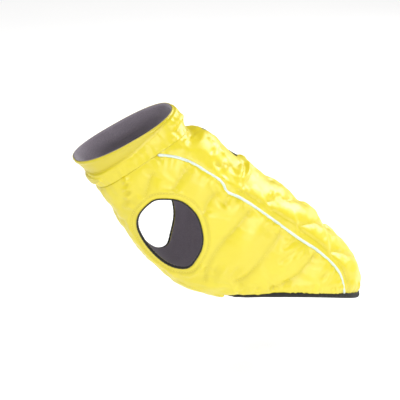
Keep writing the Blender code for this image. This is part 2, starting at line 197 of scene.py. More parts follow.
# --- Seams: depth and width of the roll into them, puckers, and the sharp groove's depth ---
Seam = namedtuple("Seam", "depth width pucker pitch sharp")
HEM_SEAM = Seam(1.6, 2.6, 0.0, 7.0, 0.5)
FLANGE_SEAM = Seam(0.8, 2.2, 0.12, 7.0, 0.5)
PIPED_EDGE = Seam(1.5, 4.0, 0.7, 7.0, 0.5)
UNDERSIDE_SEAM = Seam(1.1, 3.0, 0.3, 7.0, 0.5)
COLLAR_END = Seam(0.6, 1.6, 0.0, 7.0, 0.5)
BACK_BASE = Seam(0.3, 5.0, 0.3, 7.0, 0.05)
SIDE_BASE = Seam(0.3, 5.0, 0.4, 9.0, 0.05)
COLLAR_BASE = Seam(0.3, 4.0, 0.4, 9.0, 0.05)
END_FADE = 7.0

# How a binding is laid: its steps, how far into the opening, its radii, its lift and its gathers' share.
Binding = namedtuple("Binding", "step inward side_radius up_radius lift gathers")
ARMHOLE_BINDING = Binding(0.75, 0.35, 0.8, 1.5, 0.0, 0.07)
SLIT_BINDING = Binding(0.7, 0.1, 0.7, 1.6, 1.0, 0.05)

# --- The studio ---
VIEW_AZIMUTH, VIEW_ELEVATION = -17.0, 17.0
VIEW_DISTANCE, VIEW_HALF_FRAME = 1400.0, 200.0
VIEW_CENTRE = (-56.0, -28.0)
FLOOR_HALF, FLOOR_LEVEL = 30.0, -0.215
# name, azimuth, elevation, distance, size and power
LAMPS = (
    ("fill", -62, 14, 1.8, 1.8, 3.0),
    ("front", 18, 14, 1.8, 0.9, 12.0),
    ("top", 110, 33, 1.8, 1.3, 28.0),
)

WITH_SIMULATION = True


# --- The surface ---
def smooth_between(before, start, end, after, t):
    """A smooth curve's value from start to end, led by its neighbours."""
    return 0.5 * (2 * start + (end - before) * t + (2 * before - 5 * start + 4 * end - after) * t ** 2
                  + (3 * start - before - 3 * end + after) * t ** 3)


def sections_at(rows):
    """The sections at fractional rows, one column for each of their sizes."""
    ends = np.vstack((2 * SECTIONS[0] - SECTIONS[1], SECTIONS, 2 * SECTIONS[-1] - SECTIONS[-2]))
    i = np.clip(np.floor(rows).astype(int), 0, len(SECTIONS) - 2)
    t = (rows - i)[..., None]
    return np.moveaxis(smooth_between(ends[i], ends[i + 1], ends[i + 2], ends[i + 3], t), -1, 0)


def raw_form(rows, angles):
    """The coat's outer face without folds, in the sections' own coordinates."""
    rows, angles = np.broadcast_arrays(np.asarray(rows, float), np.asarray(angles, float))
    back_x, back_z, front_x, front_z, half_width, back_share, squareness, side_lift = sections_at(rows)
    cosine, sine = np.cos(np.radians(angles)), np.sin(np.radians(angles))
    along = np.sign(cosine) * np.abs(cosine) ** (2 / squareness)
    across = np.sign(sine) * np.abs(sine) ** (2 / squareness)
    x = (back_x + front_x) / 2 + (back_x - front_x) / 2 * along
    y = half_width * across * (1 + back_share * cosine)
    z = (back_z + front_z) / 2 + (back_z - front_z) / 2 * along + side_lift * sine ** 2
    return np.stack((x, y, z), axis=-1)


def unit(vectors):
    return vectors / np.linalg.norm(vectors, axis=-1, keepdims=True)


def normals_at(rows, angles):
    """The form's outward directions."""
    rows, angles = np.asarray(rows, float), np.asarray(angles, float)
    along = raw_form(rows + 0.02, angles) - raw_form(rows - 0.02, angles)
    around = raw_form(rows, angles + 1) - raw_form(rows, angles - 1)
    return unit(np.cross(along, around))


ORIGIN = raw_form(HELD_ROW, 0) - normals_at(HELD_ROW, 0) * SHELL_WALL


def form(rows, angles):
    """The coat's outer face without folds, from the part's origin."""
    return raw_form(rows, angles) - ORIGIN


def per_row(rows, angles):
    """Millimetres to a row."""
    rows = np.asarray(rows, float)
    return np.linalg.norm(raw_form(rows + 0.1, angles) - raw_form(rows - 0.1, angles), axis=-1) / 0.2


def per_degree(rows, angles):
    """Millimetres to a degree."""
    angles = np.asarray(angles, float)
    return np.linalg.norm(raw_form(rows, angles + 2) - raw_form(rows, angles - 2), axis=-1) / 4


def curve_through(knots, closed=False, steps=8):
    """Places on a smooth curve through the knots."""
    knots = np.array(knots, dtype=float)
    if closed:
        ends = np.vstack((knots[-1], knots, knots[:2]))
    else:
        ends = np.vstack((knots[0], knots, knots[-1]))
    t = np.arange(steps)[:, None] / steps
    points = [smooth_between(*ends[i:i + 4], t) for i in range(len(ends) - 3)]
    if not closed:
        points.append(knots[-1:])
    return np.vstack(points)


SEAM_CURVE = curve_through(PIPED_SEAM)


def seam_angle(rows):
    """Where the piped seam runs."""
    return np.interp(rows, SEAM_CURVE[:, 0], SEAM_CURVE[:, 1])


def hem_edge(angles):
    """The row where the panels end and the hem band begins."""
    return HEM_ROW - (HEM_BAND_HEIGHT + SEAM_GAP) / per_row(HEM_ROW - 0.1, angles)


def mirrored(places, side):
    """Places on one side: -1 is the coat's left, 1 the right."""
    return np.array(places, dtype=float) * (1, side)


def slit_loop(steps=40):
    """The leash slit: a lens along the spine."""
    share = np.arange(steps) / steps
    places = []
    for side in (-1, 1):
        s = share if side < 0 else 1 - share
        rows = SLIT_ROWS[0] + (SLIT_ROWS[1] - SLIT_ROWS[0]) * s
        cut = sections_at(rows)
        width = SLIT_HALF_WIDTH * np.sin(np.pi * s) ** 0.75 / (cut[4] * (1 + cut[5]))
        places.append(np.stack((rows, side * np.degrees(np.arcsin(width ** (cut[6] / 2)))), axis=-1))
    return np.vstack(places)


def armhole_loop(side):
    """The edge of the armhole."""
    return mirrored(curve_through(ARMHOLE_LOOP, closed=True, steps=10), side)


def runs_round(loop):
    """The step past each point of a closed loop, from the one before it to the one after."""
    return np.roll(loop, -1, axis=0) - np.roll(loop, 1, axis=0)


def reach_along(points):
    """How far along a path each of its points lies."""
    return np.concatenate(([0], np.cumsum(np.linalg.norm(np.diff(points, axis=0), axis=1))))


def inside(loop, places):
    """Whether places lie inside a closed loop of places."""
    result = np.zeros(places.shape[:-1], bool)
    for (row, angle), (next_row, next_angle) in zip(loop, np.roll(loop, -1, axis=0)):
        spans = (angle > places[..., 1]) != (next_angle > places[..., 1])
        with np.errstate(divide="ignore", invalid="ignore"):
            crossing = row + (places[..., 1] - angle) / (next_angle - angle) * (next_row - row)
        result ^= spans & (crossing > places[..., 0])
    return result


# --- Distances and patterns ---
def along_path(points, path, closed=False, normals=None):
    """Each point's distance to a path, how far along it is in millimetres, and the path's length.

    With normals, the distance is negative on one side of the path."""
    if closed:
        path = np.vstack((path, path[:1]))
    best = np.full(len(points), np.inf)
    reached, side = np.zeros(len(points)), np.ones(len(points))
    passed = 0.0
    for start, end in zip(path[:-1], path[1:]):
        run = end - start
        length = np.linalg.norm(run)
        if length < 1e-9:
            continue
        share = np.clip((points - start) @ run / length ** 2, 0, 1)
        across = points - start - share[:, None] * run
        distance = np.linalg.norm(across, axis=1)
        nearer = distance < best
        best[nearer] = distance[nearer]
        reached[nearer] = passed + share[nearer] * length
        if normals is not None:
            side[nearer] = np.sign(np.sum(np.cross(normals[nearer], run) * across[nearer], axis=1))
        passed += length
    return best * side, reached, passed


def near(distance, reach, power=2):
    """1 at a place or on a line, falling to 0 past its reach."""
    return np.exp(-(distance / reach) ** power)


def tapered(reached, length, fade):
    """1 along a line, easing to 0 over the last millimetres at each end."""
    ends = np.clip(np.minimum(reached, length - reached) / fade, 0, 1)
    return ends * ends * (3 - 2 * ends)


def wander(values, wavelength, seed):
    """A smooth uneven pattern along a line, between about -1 and 1."""
    chance = np.random.default_rng(seed)
    total = 0
    for _ in range(5):
        pitch = wavelength * chance.uniform(0.6, 1.9)
        total = total + np.sin(values / pitch * 2 * math.pi + chance.uniform(0, 2 * math.pi))
    return total / 2.6


def ripple(points, wavelength, seed):
    """A smooth uneven pattern in space, between about -1 and 1."""
    chance = np.random.default_rng(seed)
    total = 0
    for _ in range(7):
        direction = chance.normal(size=3)
        direction /= np.linalg.norm(direction) * wavelength * chance.uniform(0.7, 1.6)
        total = total + np.sin(points @ direction * 2 * math.pi + chance.uniform(0, 2 * math.pi))
    return total / 3.2


def varied(lines, seed):
    """Lines like the given ones, each a little different in place, reach and height."""
    chance = np.random.default_rng(seed)
    result = []
    for line in lines:
        # by rows and degrees, first the line as a whole and then each of its places
        places = np.array(line.places, dtype=float)
        places = places + chance.uniform((-0.07, -2.5), (0.07, 2.5))
        places = places + chance.normal(0, (0.015, 0.6), places.shape)
        last = line._fields[-1]
        changed = getattr(line, last) * chance.uniform(0.75, 1.2)
        result.append(line._replace(places=places, **{last: changed}))
    return result


def on_side(lines, side, seed):
    """The left side's lines, or the right side's, which are like them."""
    return lines if side < 0 else varied(lines, seed)


class Relief:
    """Height over the form at a set of places, and what goes with it.

    The groove values are painted shade, darkening the cloth's colour down in grooves, seams and recesses;
    stitched is where the padding can't billow, and pinned is where the simulation holds the cloth."""

    def __init__(self, rows, angles):
        self.rows, self.angles = rows, angles
        self.points = form(rows, angles)
        self.normals = normals_at(rows, angles)
        self.height = np.zeros(len(rows))
        self.groove_and_painted_shade = np.zeros(len(rows))
        self.stitched = np.zeros(len(rows))
        self.pinned = np.zeros(len(rows), bool)

    def at(self, height):
        """Points at a height over the form."""
        return self.points + self.normals * np.reshape(height, (-1, 1))

    def within(self, loop):
        return inside(loop, np.stack((self.rows, self.angles), axis=-1))

    def distances(self, places, closed=False, steps=6):
        path = curve_through(places, closed, steps) if len(places) > 2 and not closed else np.array(places)
        return along_path(self.points, form(*path.T), closed)

    # painted shade: the cloth's colour is darkened where a crease, seam or recess would lie in shade, and
    # the darkest stays
    def paint_shade(self, groove_and_painted_shade):
        self.groove_and_painted_shade = np.maximum(self.groove_and_painted_shade, groove_and_painted_shade)

    def stitch(self, places, depth, width, seed, groove_and_painted_shade):
        """Pulls the cloth in along a stitched line, with small puckers across it and painted shade in its
        valley.
        """
        rounding = 1.5
        distance, reached, length = self.distances(places)
        ends = tapered(reached, length, END_FADE)
        valley = np.exp(-(np.hypot(distance, rounding) - rounding) / width)
        broad = (1 - groove_and_painted_shade.share) * depth * valley
        sharp = groove_and_painted_shade.share * depth * near(distance, groove_and_painted_shade.width, 1.5)
        puckers = wander(reached, 8.0, seed) * near(distance, 5.5) * 0.2
        puckers *= np.clip(distance / 1.2, 0, 1)
        self.height += (puckers - broad - sharp) * ends
        # painted shade down in the stitched line's valley, narrow at its middle and soft beside it
        self.paint_shade(np.maximum(near(distance, 1.1), 0.6 * near(distance, 3.5)) * ends)
        self.stitched = np.maximum(self.stitched, near(distance, 6.0) * ends)
        self.pinned |= (distance < 1.3) & (ends > 0.4)

    def crease(self, places, width, height):
        """A soft ridge or trough, with a smaller one of the other kind along its one side."""
        path = curve_through(places, steps=6) if len(places) > 2 else np.array(places)
        path = form(*path.T)
        distance, reached, length = along_path(self.points, path, normals=self.normals)
        shape = near(distance, width) - 0.45 * near(distance - 2.0 * width, 1.3 * width)
        self.height += height * shape * tapered(reached, length, END_FADE)

    def creases(self, lines, side):
        for line in lines:
            self.crease(mirrored(line.places, side), line.width, line.height)

    def quilts(self, lines, side, seed):
        for k, line in enumerate(lines):
            self.stitch(mirrored(line.places, side), line.depth, line.width, seed + k, QUILT_GROOVE)


# --- Patches ---
class Patch:
    """A lattice of shares (along, around) laid on the form by place, with openings cut out of it."""

    def __init__(self, place, row_steps, angle_steps, loops=(), closed=False):
        self.place, self.row_steps, self.angle_steps, self.closed = place, row_steps, angle_steps, closed
        along, around = np.meshgrid(np.linspace(0, 1, row_steps + 1), np.linspace(0, 1, angle_steps + 1),
                                    indexing="ij")
        if closed:
            along, around = along[:, :-1], around[:, :-1]
        self.shares = np.stack((along.ravel(), around.ravel()), axis=-1)
        columns = along.shape[1]
        i, j = np.meshgrid(np.arange(row_steps), np.arange(angle_steps), indexing="ij")
        this, other = i * columns, (i + 1) * columns
        after = (j + 1) % columns
        self.faces = np.stack((this + j, other + j, other + after, this + after), axis=-1).reshape(-1, 4)
        self.faces = [tuple(face) for face in self.faces.tolist()]
        for loop in loops:
            self.cut(loop)
        self.drop_unused()
        self.rows, self.angles = self.place(self.shares[:, 0], self.shares[:, 1])

    def opened(self, loop, shares):
        """Which shares lie in a loop of places."""
        return inside(loop, np.stack(self.place(shares[..., 0], shares[..., 1]), axis=-1))

    def cut(self, loop):
        """Removes what lies in the loop and ends the remaining faces on it."""
        snap = 0.35
        opened = self.opened(loop, self.shares)
        mixed = [face for face in self.faces if 0 < sum(opened[c] for c in face) < len(face)]
        pairs = sorted({tuple(sorted((face[k], face[k - 1]))) for face in mixed for k in range(len(face))
                        if opened[face[k]] != opened[face[k - 1]]})
        kept = np.array([b if opened[a] else a for a, b in pairs])
        removed = np.array([a if opened[a] else b for a, b in pairs])
        low, high = np.zeros(len(kept)), np.ones(len(kept))
        for _ in range(18):
            middle = (low + high) / 2
            at = self.shares[kept] + (self.shares[removed] - self.shares[kept]) * middle[:, None]
            is_open = self.opened(loop, at)
            high, low = np.where(is_open, middle, high), np.where(is_open, low, middle)
        crossing = self.shares[kept] + (self.shares[removed] - self.shares[kept]) * high[:, None]
        moved, shares, new = {}, list(self.shares), {}
        for k, share, place in zip(kept, high, crossing):
            if share < moved.get(k, (snap, None))[0]:
                moved[k] = (share, place)
        for k, (_, place) in moved.items():
            shares[k] = place
        for k, gone, place in zip(kept, removed, crossing):
            if k not in moved:
                new[k, gone] = len(shares)
                shares.append(place)
        faces = []
        for face in self.faces:
            if not any(opened[c] for c in face):
                if not all(c in moved for c in face):
                    faces.append(face)
                continue
            ring = []
            for k, corner in enumerate(face):
                follower = face[(k + 1) % len(face)]
                if not opened[corner]:
                    ring.append(corner)
                link = (follower, corner) if opened[corner] else (corner, follower)
                if link in new:
                    ring.append(new[link])
            if len(ring) >= 3:
                faces.append(tuple(ring))
        self.shares, self.faces = np.array(shares), faces

    def drop_unused(self):
        used = np.unique(np.concatenate([np.array(face) for face in self.faces]))
        number = np.full(len(self.shares), -1)
        number[used] = np.arange(len(used))
        self.shares = self.shares[used]
        self.faces = [tuple(number[list(face)].tolist()) for face in self.faces]

    def relief(self):
        return Relief(self.rows, self.angles)


def border(place, steps=40):
    """The four edges of a patch, as places: first row, last row, first angle, last angle."""
    t, zeros, ones = np.linspace(0, 1, steps), np.zeros(steps), np.ones(steps)
    edges = (place(zeros, t), place(ones, t), place(t, zeros), place(t, ones))
    return [np.stack(edge, axis=-1) for edge in edges]


# --- Simulated padding ---
CLOTH = {"quality": 6, "mass": 0.12, "tension_stiffness": 18, "compression_stiffness": 18,
         "shear_stiffness": 8, "bending_stiffness": 0.35, "use_pressure": True,
         "uniform_pressure_force": 3.2, "vertex_group_mass": "held", "shrink_min": -0.02}


def cloth_sheet(name, patch, relief):
    """An open sheet at the relief's height, held along its stitched lines, that the padding pushes out."""
    points = relief.at(relief.height)
    mesh = bpy.data.meshes.new(name)
    mesh.from_pydata((points * MM).tolist(), [], patch.faces)
    sheet = bpy.data.objects.new(name, mesh)
    bpy.context.scene.collection.objects.link(sheet)
    group = sheet.vertex_groups.new(name="held")
    group.add(np.flatnonzero(relief.pinned).tolist(), 1.0, "REPLACE")
    cloth = sheet.modifiers.new("cloth", "CLOTH")
    settings = cloth.settings
    for key, value in CLOTH.items():
        setattr(settings, key, value)
    settings.effector_weights.gravity = 0
    cloth.collision_settings.use_collision = False
    cloth.point_cache.frame_start = 1
    cloth.point_cache.frame_end = CLOTH_FRAMES
    return sheet


def settled(sheets):
    """Steps the simulation and returns each sheet's points, in millimetres."""
    scene = bpy.context.scene
    scene.frame_start, scene.frame_end = 1, CLOTH_FRAMES
    for step in range(1, CLOTH_FRAMES + 1):
        scene.frame_set(step)
    graph = bpy.context.evaluated_depsgraph_get()
    result = []
    for sheet in sheets:
        mesh = sheet.evaluated_get(graph).to_mesh()
        points = np.empty(len(mesh.vertices) * 3)
        mesh.vertices.foreach_get("co", points)
        result.append(points.reshape(-1, 3) / MM)
        sheet.evaluated_get(graph).to_mesh_clear()
    for sheet in sheets:
        data = sheet.data
        bpy.data.objects.remove(sheet)
        bpy.data.meshes.remove(data)
    scene.frame_set(1)
    return result


def sampled(lattice, shares):
    """Values of a lattice of samples at shares (along, around), smoothly."""
    rows, columns = lattice.shape[0] - 1, lattice.shape[1] - 1
    at = shares * (rows, columns)

    def weights(position, last):
        i = np.clip(np.floor(position).astype(int), 0, last - 1)
        t = position - i
        w = np.stack((-t ** 3 + 2 * t ** 2 - t, 3 * t ** 3 - 5 * t ** 2 + 2, -3 * t ** 3 + 4 * t ** 2 + t,
                      t ** 3 - t ** 2)) / 2
        return np.stack([np.clip(i + k, 0, last) for k in (-1, 0, 1, 2)]), w

    rows_at, row_weights = weights(at[:, 0], rows)
    columns_at, column_weights = weights(at[:, 1], columns)
    total = 0
    for a in range(4):
        for b in range(4):
            weight = (row_weights[a] * column_weights[b])[:, None]
            total = total + lattice[rows_at[a], columns_at[b]] * weight
    return total


# --- Meshes ---
def add_mesh(name, points, faces, materials, slots=None):
    """A smooth mesh of points in millimetres, with each face's material slot."""
    mesh = bpy.data.meshes.new(name)
    mesh.from_pydata((np.asarray(points) * MM).tolist(), [], faces)
    for finish in materials:
        mesh.materials.append(finish)
    if slots is not None:
        mesh.polygons.foreach_set("material_index", np.asarray(slots, dtype=np.int32))
    mesh.shade_smooth()
    mesh.update()
    thing = bpy.data.objects.new(name, mesh)
    bpy.context.scene.collection.objects.link(thing)
    return thing


def add_values(thing, name, values):
    """A value for each point of a mesh, which its material reads."""
    values = np.asarray(values, dtype=np.float32)
    kind = "FLOAT" if values.ndim == 1 else "FLOAT_VECTOR"
    layer = thing.data.attributes.new(name, kind, "POINT")
    layer.data.foreach_set("value" if values.ndim == 1 else "vector", values.ravel())


def add_wall(name, patch, outer, inner, groove_and_painted_shade, finish, backing=None):
    """A closed wall between outer and inner points of a patch, with another finish inside if given."""
    count = len(outer)
    sides = {}
    for face in patch.faces:
        for k, corner in enumerate(face):
            follower = face[(k + 1) % len(face)]
            if sides.pop((follower, corner), None) is None:
                sides[corner, follower] = True
    rims = [(b, a, a + count, b + count) for a, b in sides]
    faces = patch.faces + [tuple(c + count for c in reversed(face)) for face in patch.faces] + rims
    slots = [0] * len(patch.faces) + [1] * len(patch.faces) + [0] * len(rims)
    thing = add_mesh(name, np.vstack((outer, inner)), faces, [finish, backing or finish], slots)
    spread = np.stack((patch.shares[:, 0] * patch.row_steps, patch.shares[:, 1] * patch.angle_steps,
                       0 * patch.rows), axis=-1) * CELL
    add_values(thing, "cloth", np.vstack((spread, spread)))
    # painted shade on the outer face only; the inner face gets none
    add_values(thing, "groove_and_painted_shade", np.concatenate((groove_and_painted_shade, groove_and_painted_shade * 0)))
    return thing


def frames_along(points, ups, closed):
    """Unit side and up directions at each point of a path."""
    runs = unit(runs_round(points) if closed else np.gradient(points, axis=0))
    sides = unit(np.cross(ups, runs))
    return sides, np.cross(runs, sides)


def tube_faces(rings, sides, first=0, closed=False):
    """The faces of a tube whose rings follow one another from point first, capped unless it is closed."""
    faces = []
    for i in range(rings if closed else rings - 1):
        this, other = first + i * sides, first + (i + 1) % rings * sides
        for j in range(sides):
            k = (j + 1) % sides
            faces.append((this + j, this + k, other + k, other + j))
    if not closed:
        last = first + (rings - 1) * sides
        faces.append(tuple(range(first, first + sides))[::-1])
        faces.append(tuple(range(last, last + sides)))
    return faces


def add_tube(name, points, ups, profile, finish, closed=False):
    """A tube whose cross-section is a closed profile of (side, up), one for each point or one for all."""
    sides, tops = frames_along(points, ups, closed)
    profile = np.broadcast_to(np.asarray(profile, float), (len(points),) + np.asarray(profile).shape[-2:])
    rings = points[:, None] + profile[..., :1] * sides[:, None] + profile[..., 1:] * tops[:, None]
    count = profile.shape[1]
    faces = tube_faces(len(points), count, closed=closed)
    thing = add_mesh(name, rings.reshape(-1, 3), faces, [finish])
    turn = np.arange(count) * 0.6  # about as far apart as a profile's points, in millimetres
    spread = np.stack(np.broadcast_arrays(reach_along(points)[:, None], turn[None], 0.0), axis=-1)
    spread = spread.reshape(-1, 3)
    add_values(thing, "cloth", spread)
    return thing


def ellipse(side_radius, up_radius, sides=12):
    """A cross-section, as (side, up)."""
    turn = np.arange(sides) * 2 * math.pi / sides
    return np.stack((side_radius * np.cos(turn), up_radius * np.sin(turn)), axis=-1)


def evenly(places, spacing, closed=False):
    """Places at even distances along a path of places."""
    if closed:
        places = np.vstack((places, places[:1]))
    reach = reach_along(form(*places.T))
    stations = np.linspace(0, reach[-1], max(4, round(reach[-1] / spacing)) + 1)
    if closed:
        stations = stations[:-1]
    return np.stack([np.interp(stations, reach, places[:, k]) for k in (0, 1)], axis=-1)


# --- Materials ---
class Nodes:
    """Short ways to add and join a material's nodes."""

    def __init__(self, name, roughness, **values):
        self.material = bpy.data.materials.new(name)
        self.material.use_nodes = True
        self.tree = self.material.node_tree
        self.shader = self.tree.nodes["Principled BSDF"]
        self.shader.inputs["Roughness"].default_value = roughness
        for socket, value in values.items():
            self.shader.inputs[socket.replace("_", " ")].default_value = value

    def add(self, kind, inputs=None, **settings):
        node = self.tree.nodes.new(kind)
        for key, value in settings.items():
            setattr(node, key, value)
        for key, value in (inputs or {}).items():
            if isinstance(value, bpy.types.NodeSocket):
                self.tree.links.new(value, node.inputs[key])
            else:
                node.inputs[key].default_value = value
        return node

    def place(self):
        return self.add("ShaderNodeTexCoord").outputs["Object"]

    def value(self, name, output="Fac"):
        return self.add("ShaderNodeAttribute", attribute_name=name).outputs[output]

    def noise(self, vector, scale, detail=3.0, roughness=0.55):
        inputs = {"Vector": vector, "Scale": scale, "Detail": detail, "Roughness": roughness}
        return self.add("ShaderNodeTexNoise", inputs).outputs["Fac"]

    def spread(self, value, low, high, from_low=0.0, from_high=1.0):
        inputs = {"Value": value, "From Min": from_low, "From Max": from_high,
                  "To Min": low, "To Max": high}
        return self.add("ShaderNodeMapRange", inputs).outputs["Result"]

    def maths(self, operation, first, second):
        return self.add("ShaderNodeMath", {0: first, 1: second}, operation=operation).outputs[0]

    def mix(self, share, first, second):
        first, second = ((*color, 1) if isinstance(color, tuple) else color for color in (first, second))
        inputs = {0: share, 6: first, 7: second}
        return self.add("ShaderNodeMix", inputs, data_type="RGBA").outputs[2]

    def mottle(self, tone, deep, pattern, most, low, high):
        """A tone that turns deeper, at most by a share, where the pattern goes from low to high."""
        return self.mix(self.spread(pattern, 0.0, most, low, high), tone, deep)

    def bump(self, height, strength, distance, below=None):
        inputs = {"Height": height, "Strength": strength, "Distance": distance}
        if below is not None:
            inputs["Normal"] = below
        return self.add("ShaderNodeBump", inputs).outputs["Normal"]

    def weave(self, pitch):
        """Crossing threads, pitch millimetres apart, in the cloth's own directions."""
        place = self.value("cloth", "Vector")
        unscaled_pitch = 0.314
        waves = []
        for direction in ("X", "Y"):
            inputs = {"Vector": place, "Scale": 1 / pitch * unscaled_pitch, "Distortion": 0.6,
                      "Detail": 1.0, "Detail Scale": 0.6}
            wave = self.add("ShaderNodeTexWave", inputs, bands_direction=direction)
            waves.append(wave.outputs["Fac"])
        return self.maths("ADD", *waves)

    def finish(self, color, normal, roughness=None):
        self.tree.links.new(color, self.shader.inputs["Base Color"])
        self.tree.links.new(normal, self.shader.inputs["Normal"])
        if roughness is not None:
            self.tree.links.new(roughness, self.shader.inputs["Roughness"])
        return self.material


def nylon(name, color, deep, shade):
    """Satin nylon: a fine weave, small pulls, and painted shade down in stitched grooves, seams and other
    recesses.
    """
    n = Nodes(name, 0.40, Specular_IOR_Level=1.0)
    place = n.place()
    soft = n.noise(place, 24.0, 2.0)
    fine = n.noise(place, 420.0, 2.0)
    tone = n.mottle(color, deep, soft, 0.25, 0.35, 0.7)
    # painted shade: the shade colour is mixed in by the per-point shade values
    tone = n.mix(n.maths("MULTIPLY", n.value("groove_and_painted_shade"), 0.4), tone, shade)
    tone = n.mottle(tone, deep, fine, 0.08, 0.4, 0.7)
    pulls = n.noise(place, 70.0, 3.0, 0.5)
    normal = n.bump(pulls, 0.25, 0.0008)
    normal = n.bump(n.weave(0.62), 0.15, 0.0001, normal)
    return n.finish(tone, normal, n.spread(soft, 0.36, 0.44, 0.3, 0.7))


def fleece(name, color, deep):
    """Brushed slate lining."""
    n = Nodes(name, 0.92, Sheen_Weight=0.35, Sheen_Roughness=0.6, Specular_IOR_Level=0.2)
    place = n.place()
    nap = n.noise(place, 900.0, 4.0, 0.7)
    patches = n.noise(place, 60.0, 3.0)
    tone = n.mottle(color, deep, nap, 0.8, 0.35, 0.65)
    tone = n.mottle(tone, deep, patches, 0.35, 0.35, 0.65)
    normal = n.bump(nap, 0.5, 0.0005)
    normal = n.bump(patches, 0.2, 0.001, normal)
    return n.finish(tone, normal)


def reflective(name, color, deep):
    """Silver reflective tape: tiny beads in a fine grid over the cord."""
    n = Nodes(name, 0.34, Metallic=0.15, Specular_IOR_Level=0.6, Coat_Weight=0.15)
    place = n.place()
    beads = n.add("ShaderNodeTexVoronoi", {"Vector": place, "Scale": 2400.0}).outputs["Distance"]
    wear = n.noise(place, 90.0, 4.0)
    tone = n.mottle(color, deep, wear, 0.6, 0.45, 0.75)
    tone = n.mottle(tone, deep, beads, 0.3, 0.2, 0.7)
    normal = n.bump(beads, 0.25, 0.0001)
    normal = n.bump(n.weave(0.9), 0.2, 0.0002, normal)
    return n.finish(tone, normal, n.spread(wear, 0.28, 0.45))


def elastic(name, color, deep):
    """Black knitted elastic."""
    n = Nodes(name, 0.78, Sheen_Weight=0.15, Specular_IOR_Level=0.3)
    place = n.place()
    knit = n.weave(0.55)
    fuzz = n.noise(place, 1200.0, 3.0, 0.7)
    tone = n.mottle(deep, color, knit, 1.0, 0.3, 1.6)
    tone = n.mottle(tone, color, fuzz, 0.35, 0.5, 0.8)
    normal = n.bump(knit, 0.6, 0.0002)
    normal = n.bump(fuzz, 0.25, 0.0002, normal)
    return n.finish(tone, normal)


def thread(name, color, deep):
    """Twisted polyester thread."""
    n = Nodes(name, 0.5, Sheen_Weight=0.1)
    twist = n.noise(n.place(), 1800.0, 2.0)
    return n.finish(n.mottle(color, deep, twist, 0.7, 0.4, 0.6), n.bump(twist, 0.4, 0.0001))


# --- Panels ---
def panel_row(along, angles):
    """Rows of a body panel, from the collar's seam to the hem band."""
    first = BASE_ROW + SEAM_GAP / per_row(BASE_ROW, 0.0)
    return first + (hem_edge(angles) - first) * along


def back_place(along, around):
    """Places on the back panel, between the two piped seams."""
    side = 2 * around - 1
    row = panel_row(along, side * seam_angle(HEM_ROW))
    angle = seam_angle(row)
    return row, side * (angle - SEAM_GAP / 2 / per_degree(row, angle))


def side_place(side):
    """Gives places on a side panel, from its piped seam to the underside."""
    def place(along, around):
        share = around if side > 0 else 1 - around
        row = panel_row(along, seam_angle(HEM_ROW) + (180 - seam_angle(HEM_ROW)) * share)
        top = seam_angle(row) + SEAM_GAP / 2 / per_degree(row, seam_angle(row))
        bottom = 180 - SEAM_GAP / 2 / per_degree(row, 178.0)
        return row, side * (top + (bottom - top) * share)

    return place


def collar_place(along, around):
    """Places on the collar, from its rim to its base, parted at the throat."""
    row = (BASE_ROW - SEAM_GAP / per_row(BASE_ROW, 90.0)) * along
    half = 180 - SEAM_GAP / 2 / per_degree(row, 178.0)
    return row, half * (2 * around - 1)


def seam_edge(relief, edge, seam, seed):
    """Rolls the cloth down into a seam, with small puckers across it."""
    distance, reached, _ = relief.distances(edge, steps=1)
    relief.height -= seam.depth * near(distance, seam.width, 1.6)
    relief.height -= seam.sharp * near(distance, 0.8)
    shape = near(distance, seam.width * 2.2) * np.clip(distance / 1.5, 0, 1)
    relief.height += seam.pucker * wander(reached, seam.pitch, seed) * shape
    relief.pinned |= distance < 1.2
    # painted shade in the seam's sharp groove
    relief.paint_shade(2 * seam.sharp * near(distance, 0.9))


def base_edge(relief, edge, reach, seam, seed):
    """Brings a panel and the collar to one level where they join, in a seam that deepens at the throat."""
    from_angle, to_angle = 95, 125
    throat = np.clip((np.abs(relief.angles) - from_angle) / (to_angle - from_angle), 0, 1)
    distance, _, _ = relief.distances(edge, steps=1)
    share = near(distance, reach)
    relief.height = relief.height * (1 - share) + (SEAM_LEVEL - 0.6 * throat) * share
    seam = seam._replace(depth=seam.depth + 0.6 * throat, sharp=seam.sharp + 0.15 * throat)
    seam_edge(relief, edge, seam, seed)


def padding(relief, wavelength, seed):
    """The padding's thickness, uneven in large and in small waves."""
    relief.height += PADDING_CROWN + 0.55 * ripple(relief.points, wavelength, seed) \
        + 0.22 * ripple(relief.points, wavelength * 0.4, seed + 1)


def hem_gathers(relief, seed):
    """Fine gathers that the hem's elastic pulls into the shell, and the fullness above it."""
    room = (hem_edge(relief.angles) - relief.rows) * per_row(HEM_ROW - 0.3, relief.angles)
    around = relief.angles * per_degree(HEM_ROW - 0.2, relief.angles)
    drawn_up = near(np.abs(relief.angles) - 145.0, 22.0)
    tight = 1 + 0.8 * near(np.abs(relief.angles) - 130.0, 20.0)
    # fullness above the hem, the cloth drawn up at the underside, and gathers of two sizes
    relief.height += 1.2 * near(room - 9.0, 5.0)
    relief.height -= 2.2 * drawn_up * near(room, 9.0)
    relief.height += 0.55 * tight * wander(around, 5.5, seed) * near(room, 8.0)
    relief.height += 0.25 * wander(around, 2.6, seed + 1) * near(room, 4.0)


